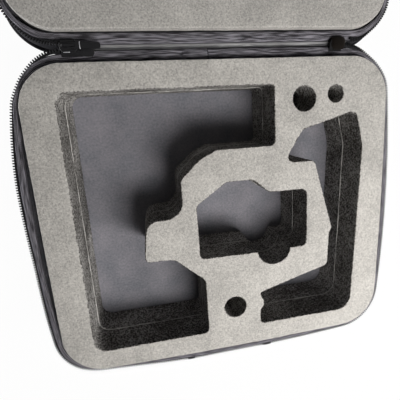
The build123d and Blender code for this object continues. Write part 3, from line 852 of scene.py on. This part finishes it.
def zipSpan(line):
    # the part of the outline from the hinge side's left tail, round the front, to its right tail
    back = line[:, 1] > case["foamHalfY"]
    drop = back & (line[:, 0] > zipEnds["left"]) & (line[:, 0] < zipEnds["right"])
    first = int(np.argmax(~drop & np.roll(drop, 1)))
    order = (np.arange(len(line)) + first) % len(line)
    return order[~drop[order]]


def zipTail(p, which):
    # near the hinge both rims' zips climb to the hinge line and meet there
    sign = 1.0 if which == "base" else -1.0
    x = p[..., 0] * sign
    end = np.where(x < 0, -zipEnds["left"], zipEnds["right"])
    t = smooth((end + zipEnds["rise"] - np.abs(x)) / zipEnds["rise"]) * (p[..., 1] > case["foamHalfY"] - 20)
    out = p.copy()
    out[..., 2] += t * (zipEnds["level"] - zipEnds["run"])
    return out


def coilTube(path, halfWidth, halfHeight, wire):
    # a flattened coil about a path, itself a thin round wire: each turn lies square to the path and steps on
    # to the next one at its inner side; the wire's ring is framed by the path's own direction
    s = lengths(path)
    part = np.arange(int(s[-1] / coil["pitch"]) * coil["perTurn"] + 1) / coil["perTurn"]
    t = (np.floor(part) + smooth((part % 1 - 0.3) / 0.4)) * coil["pitch"]
    q, ahead, behind = (pointsAt(t + d, s, path) for d in (0.0, 0.5, -0.5))
    d = unit(ahead - behind)
    side = unit(np.cross(d, [0.0, 0.0, 1.0]))
    up = np.cross(side, d)
    turn = 2 * np.pi * part[:, None]
    q = q + halfWidth * np.cos(turn) * side + halfHeight * np.sin(turn) * up
    way = unit(np.gradient(q, axis=0))
    first = unit(d - (d * way).sum(axis=1, keepdims=True) * way)
    second = np.cross(first, way)
    a = circle(coil["sides"])[None, :, None]
    return q[:, None, :] + wire * (np.cos(a) * first[:, None, :] + np.sin(a) * second[:, None, :])


def makeCoil(which):
    line = caseLine(coil["spread"], case["rimBow"], case["hingeExtra"])
    line = pullIn(line, coil["spread"], halves[which]["turn"])
    path = zipTail(atLevel(line[zipSpan(line)], zipEnds["run"]), which)
    p = coilTube(path, coil["halfWidth"], coil["halfHeight"], coil["wire"])
    dressOpen(which, "_teeth", p, coilNylon, "zip_coil")


# closed zip over the hinge gap: span of each end, place of the teeth, and the tape's section as (y, z) pairs
# with y from the hinge
chain = {
    "spans": {"left": (-139.5, -113.0), "right": (117.0, 131.0)}, "level": 74.8, "half": 0.95,
    "coil": (1.35, 0.75, 0.45),
    "tape": ((-8.2, 72.1), (-7.0, 72.5), (-6.2, 73.6), (-4.6, 74.5), (-0.6, 74.6), (-0.6, 75.0), (-4.4, 75.0),
             (-5.6, 74.4), (-6.6, 73.2), (-8.2, 72.9)),
}


def makeChain(side):
    # two coils whose turns lie between each other, on a strip of tape that turns down to the base's rim
    name = "zip_chain_" + side
    x = np.arange(*chain["spans"][side], 0.5)
    grids = [closeEnds(coilTube(surface(x + shift, case["hingeY"] + y, chain["level"]), *chain["coil"]))
             for y, shift in ((-chain["half"], 0.0), (chain["half"], 0.5 * coil["pitch"]))]
    makeObject(name + "_teeth", *joinGrids(grids, False, True), coilNylon, "base", "zip_coil", weld=True)
    y, z = np.array(chain["tape"]).T
    tubePiece(name + "_tape", surface(x[:, None], case["hingeY"] + y, z), tapeCloth, "base", "zip_tape", flip=True,
              replaces=(name,))


for which in ("base", "lid"):
    makeWall(which)
    makePiping(which)
    makeLining(which)
    makeBinding(which)
    makeTape(which)
    makeCoil(which)
for side in chain["spans"]:
    makeChain(side)
print("shell and zip ready")


# cloth is the level up to which the pad's sides take the black cloth of painted shade
lidPad = {"bottom": -29.85, "top": 0.0, "edge": 1.2, "rows": 10, "step": 2.5, "spacing": 4.0, "seed": 91,
          "cloth": -9.5}


def makeLidFoam():
    rows = foamRows(lidPad["bottom"], lidPad["top"], lidPad["edge"], lidPad["rows"])
    verts, tris = slabMesh([foamEdge(lidPad["step"])], rows, lidPad["spacing"], lidPad["seed"])[:2]
    obj = makeObject("lid_foam_pad", placeLid(verts), tris, foamSkin, "lid", "foam", replaces=("lid_foam",))
    # the pad's sides are covered in black cloth up to the rim: a dark sheet of painted shade for the shadow between
    # the pad and the binding
    paintFaces(obj, padShadeCloth, verts[tris][..., 2].min(axis=1) < lidPad["cloth"])


makeLidFoam()


gusset = {"halfLength": 138.0, "half": 2.5, "level": 71.0, "sag": 2.6, "leftSag": 5.6, "deepest": 4.4,
          "pucker": 0.5, "flat": (0.276, 0.0125), "grid": (240, 15)}


def makeGusset():
    # satin strip sewn to both rims, sagging between them in small puckers
    n, m = gusset["grid"]
    x = np.linspace(-gusset["halfLength"], gusset["halfLength"], n)
    t = np.linspace(0, 1, m)
    below, half, level = 9.0, gusset["half"], gusset["level"]
    near = case["hingeY"] - half
    farY = case["hingeY"] + half * np.cos(droop) - below * np.sin(droop)
    farZ = case["hingeZ"] - below * np.cos(droop)
    fold = np.sin(np.pi * t)
    pucker = softNoise((n, m), (5.0, 2.0), 71)
    twist = softNoise((n, 1), (14.0, 0.0), 72)
    deep = gusset["sag"] + gusset["leftSag"] * smooth((10 - x) / 40)[:, None]
    sag = deep * fold ** 0.7 * (1 + 0.16 * twist) + gusset["pucker"] * pucker * fold
    p = surface(x[:, None], near + (farY - near) * t, level + (farZ - level) * t - np.minimum(sag, gusset["deepest"]))
    obj = gridPiece("hinge_gusset_cloth", p, False, False, gussetCloth, None, "lining", replaces=("hinge_gusset",))
    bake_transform(obj)


makeGusset()


# inner is the lap's start beyond the foam's edge, sunk the depth of its underside in the binding
lap = {"start": -34.0, "end": -9.0, "thickness": 0.75, "grow": 12.0, "inner": 0.2, "sunk": 0.4,
       "seam": {"radius": 0.45, "ahead": 0.35, "lift": 0.1}}


def makeLap():
    # the binding's end lies over its start: a second layer that grows out of the first and ends in a fold
    a = np.linspace(0, np.pi, 15)
    x = np.concatenate([np.linspace(lap["start"], lap["end"] - 1.0, 16), lap["end"] - np.array([0.6, 0.3, 0.1, 0.0])])
    rise = np.clip((x - lap["start"]) / lap["grow"], 0.02, 1)
    rise[-4:] = (0.97, 0.85, 0.6, 0.15)
    lift, seam = lap["thickness"] * rise[:, None], lap["seam"]
    half = (case["bindingOuter"] + case["hingeExtra"] - lap["inner"]) / 2

    def arch(x, a, out, up):
        # half-round section of the binding on the hinge side
        return surface(x, case["foamHalfY"] + lap["inner"] + half + out * np.cos(a),
                       case["crown"] + up * np.sin(a) ** 0.8)

    over = arch(x[:, None], a, half + lift, binding["rise"] + lift)
    under = arch(x[:, None], a[::-1], half - lap["sunk"], binding["rise"] - lap["sunk"])
    tubePiece("binding_lap_cloth", placeBase(np.concatenate([over, under], axis=1)), nylonBinding, "base", "binding",
              flip=True, replaces=("binding_lap",))
    # a black cord just ahead of the fold: a seam, and partly painted shade for the shadow gap at the fold's edge
    line = arch(lap["end"] + seam["ahead"], a[1:-1], half + seam["lift"], binding["rise"] + seam["lift"])
    tubePiece("binding_lap_shade_seam", placeBase(tubeRound(line, seam["radius"], 8, False)), tapeCloth, "base", "binding")


makeLap()


# cap: place, half lengths along x and y, bottom and top levels, cloth; each starts with an upright edge
capEdge = 0.8
caps = {
    "left": ((-118.0, 166.7), (6.2, 6.2), (72.0, 77.5), tapeCloth),
    "right": ((126.3, 168.4), (8.8, 6.6), (72.0, 77.8), capCloth),
}


def makeCap(side):
    # a low pillow whose height is one less the radius to the power 3.2, all to the power three quarters
    (x, y), (halfX, halfY), (bottom, top), material = caps[side]
    u, v = superCircle(56)
    r = np.concatenate([[0.0], np.linspace(0.2, 1.0, 12)])
    px, py = x + halfX * u[:, None] * r, y + halfY * v[:, None] * r
    over = surface(px, py, bottom + capEdge + (top - bottom - capEdge) * (1 - r ** 3.2) ** 0.75)
    p = np.concatenate([over, surface(px[:, ::-1], py[:, ::-1], bottom)], axis=1)
    name = "zip_cap_" + side
    gridPiece(name + "_cloth", p, True, False, material, "base", "zip_tape", flip=True, weld=True, replaces=(name,))


for side in caps:
    makeCap(side)


for material, names in ((nylonPanel, ("base_panel", "lid_panel")), (sliderPaint, ("zip_slider", "zip_pull")),
                        (handlePlastic, ("carry_handle", "handle_mount_left", "handle_mount_right"))):
    for name in names:
        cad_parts[name].data.materials.clear()
        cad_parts[name].data.materials.append(material)


# thread: half length, half width and half height; rows: the binding's outer and inner face
stitch = {"pitch": 3.6, "size": (1.25, 0.3, 0.24), "rows": {"outer": 6.55, "inner": 0.17}, "level": -14.6}


def stitchRow(name, line, outward, body):
    # short threads along a line of points: each a six-sided spindle that stands proud of the cloth
    s = lengths(line)
    at = (np.arange(int(s[-1] / stitch["pitch"])) + 0.5) * stitch["pitch"]
    middle = pointsAt(at, s, line)
    along, up = unit(pointsAt(at + 0.6, s, line) - middle), unit(pointsAt(at, s, outward))
    frames = [v[:, None, None, :] for v in (along, np.cross(up, along), up)]
    way = np.array([-1.0, -0.8, 0.0, 0.8, 1.0])[:, None]
    width = np.array([0.0, 0.6, 1.0, 0.6, 0.0])[:, None]
    a = circle(6)
    p = middle[:, None, None, :] + sum(size * part[..., None] * axis for size, part, axis in zip(
        stitch["size"], (way + 0 * a, width * np.cos(a), width * np.sin(a)), frames))
    makeObject(name, *joinGrids(p, False, True), threadGrey, body, "binding", weld=True)


def rimStitches(which, label):
    half, spread, level = halves[which], stitch["rows"][label], stitch["level"]
    isOuter = label == "outer"
    line = caseLine(spread, bowAt(level, half), case["hingeExtra"] if isOuter else 0.0)
    normal = lineNormals(line) * (1 if isOuter else -1)
    path = atLevel(pullIn(line, spread, half["turn"]), level)
    tip = half["place"](path + atLevel(normal, 0.0))
    path = half["place"](path)
    stitchRow(which + "_" + label + "_stitches", path, tip - path, which)


for which in halves:
    for label in stitch["rows"]:
        rimStitches(which, label)


grip = {"halfLength": 38.0, "halfHeight": 8.5, "halfDepth": 7.5, "ribs": 13, "groove": 0.55, "y": -176.5, "z": 12.0}


def makeGrip():
    # moulded grip: a section |y|^3 + |z|^3 = 1, swelling a little to the middle, with grooves across it
    x = np.linspace(-1, 1, 157)[:, None]
    a = circle(40)
    u, v = superCircle(40)
    ribbed = np.clip((0.86 - np.abs(x)) / 0.04, 0, 1) * np.clip(np.sin(x * np.pi * grip["ribs"]) ** 2 * 3 - 2, 0, 1)
    swell = (0.90 + 0.10 * np.cos(x * np.pi / 2)) * (0.35 + 0.65 * (1 - np.abs(x) ** 14) ** 0.5)
    y = grip["y"] + swell * grip["halfDepth"] * u - grip["groove"] * ribbed * np.cos(a)
    z = grip["z"] + swell * grip["halfHeight"] * v - grip["groove"] * ribbed * np.sin(a)
    tubePiece("grip_rubber", surface(grip["halfLength"] * x, y, z), gripRubber, "handle", "grip",
              replaces=("handle_grip",))


rivet = {"inset": 4.5, "radius": 2.1, "rise": 1.0, "seat": 2.4}


def makeRivets():
    # domed rivet heads at the corners of both handle mounts
    t, a = np.linspace(0, np.pi / 2, 6)[:, None], circle(20)
    grids = []
    for side in ("left", "right"):
        box = np.array([v.co[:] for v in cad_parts["handle_mount_" + side].data.vertices]) * 1000
        low, high = box.min(axis=0), box.max(axis=0)
        for x in (low[0] + rivet["inset"], high[0] - rivet["inset"]):
            for z in (low[2] + rivet["inset"], high[2] - rivet["inset"]):
                r = rivet["radius"] * np.cos(t)
                grids.append(surface(x + r * np.cos(a), high[1] - rivet["seat"] - rivet["rise"] * np.sin(t),
                                     z + r * np.sin(a)))
    makeObject("mount_rivets", *joinGrids(grids, False, True), rivetMetal, "base", "handle", weld=True)


# bare metal of the zip: the pull's wire loop, and a bright steel strip on the slider's edge, a painted highlight that
# stands for the glint there
loop = {"centre": (-122.5, 168.9, 78.4), "halfWidth": 3.0, "halfHeight": 1.25, "wire": 0.38}
glintEdge = {"start": (-137.0, 163.7, 77.3), "end": (-131.2, 163.75, 77.3), "radius": 0.5}


def makeLoop():
    # it stands square to x
    a = circle(32)
    b = circle(10)[None, :, None]
    out = surface(0 * a, np.cos(a), np.sin(a))
    path = np.array(loop["centre"]) + out * (1.0, loop["halfWidth"], loop["halfHeight"])
    p = path[:, None, :] + loop["wire"] * (np.cos(b) * out[:, None, :] + np.sin(b) * (1.0, 0.0, 0.0))
    gridPiece("pull_loop", p, True, True, rivetMetal, "pull", "zip_metal")


def makeGlintEdge():
    # a steel strip along the slider's front edge: painted highlight for the glint on its black paint
    t = np.linspace(0, 1, 14)
    start, end = (np.array(glintEdge[key]) for key in ("start", "end"))
    radius = glintEdge["radius"] * np.sqrt(np.maximum(1 - (2 * t - 1) ** 4, 0.02))
    tubePiece("slider_glint_edge", tubeRound(start + (end - start) * t[:, None], radius, 10, False), rivetMetal,
              "slider", "zip_metal")


makeGrip()
makeRivets()
makeLoop()
makeGlintEdge()
print("small pieces ready")


def seenWhite(tree, shader, output, share):
    # what the camera and mirror-like surfaces see is mostly white, with a share left of the real surface,
    # so that the shadow stays
    rays = tree.nodes.new("ShaderNodeLightPath").outputs
    seen = addMath(tree, "MAXIMUM", rays["Is Camera Ray"], rays["Is Glossy Ray"])
    seen = addMath(tree, "MAXIMUM", seen, rays["Is Transmission Ray"])
    white = addNode(tree, "ShaderNodeEmission", Strength=1.0, Color=(1.0, 1.0, 1.0))
    mix = fill(tree, tree.nodes.new("ShaderNodeMixShader"),
               {0: addMath(tree, "MULTIPLY", seen, share), 1: shader.outputs[0], 2: white.outputs[0]})
    tree.links.new(mix.outputs[0], output.inputs["Surface"])


stage = {"half": 6.0, "colour": (0.86, 0.86, 0.86), "white": 0.97, "air": (0.95, 0.97, 1.0), "airStrength": 0.02}


def makeStage():
    mesh = bpy.data.meshes.new("floor")
    size = stage["half"]
    mesh.from_pydata([(-size, -size, 0), (size, -size, 0), (size, size, 0), (-size, size, 0)], [], [(0, 1, 2, 3)])
    link(bpy.data.objects.new("floor", mesh))
    mat, tree, shader = newMaterial("floorWhite")
    fill(tree, shader, {"Base Color": stage["colour"], "Roughness": 0.9})
    seenWhite(tree, shader, tree.nodes["Material Output"], stage["white"])
    mesh.materials.append(mat)


# the light falls from the right and the front; a lower lamp on the same side reaches the left cut walls,
# and two strips near the floor, under the foam's level, light the outer walls alone
lamps = {
    "key": {"place": (0.17, -0.22, 0.68), "aim": (0.26, -0.02, 0.08), "size": (0.38, 0.20), "watts": 4.1,
            "colour": (1.0, 0.98, 0.95)},
    "side": {"place": (0.62, -0.36, 0.58), "aim": (-0.05, 0.0, 0.08), "size": (0.30, 0.30), "watts": 3.4,
             "colour": (1.0, 0.98, 0.96)},
    "back": {"place": (-0.30, 1.25, 0.055), "aim": (0.0, 0.35, 0.04), "size": (0.90, 0.06), "watts": 7.0,
             "colour": (0.97, 0.98, 1.0)},
    "left": {"place": (-1.05, 0.0, 0.055), "aim": (-0.1, 0.05, 0.04), "size": (0.90, 0.06), "watts": 6.0,
             "colour": (0.97, 0.98, 1.0)},
}


def makeLights():
    world = bpy.data.worlds.new("room")
    world.use_nodes = True
    bpy.context.scene.world = world
    tree = world.node_tree
    air = fill(tree, tree.nodes["Background"], {"Color": stage["air"], "Strength": stage["airStrength"]})
    seenWhite(tree, air, tree.nodes["World Output"], 1.0)
    for name, lamp in lamps.items():
        data = bpy.data.lights.new(name, "AREA")
        data.shape, data.energy, data.color = "RECTANGLE", lamp["watts"], lamp["colour"]
        data.size, data.size_y = lamp["size"]
        obj = link(bpy.data.objects.new(name, data))
        obj.location, obj.visible_camera = lamp["place"], False
        obj.rotation_euler = (Vector(lamp["aim"]) - obj.location).to_track_quat("-Z", "Y").to_euler()


makeStage()
makeLights()
bpy.context.scene.view_settings.view_transform = "Standard"
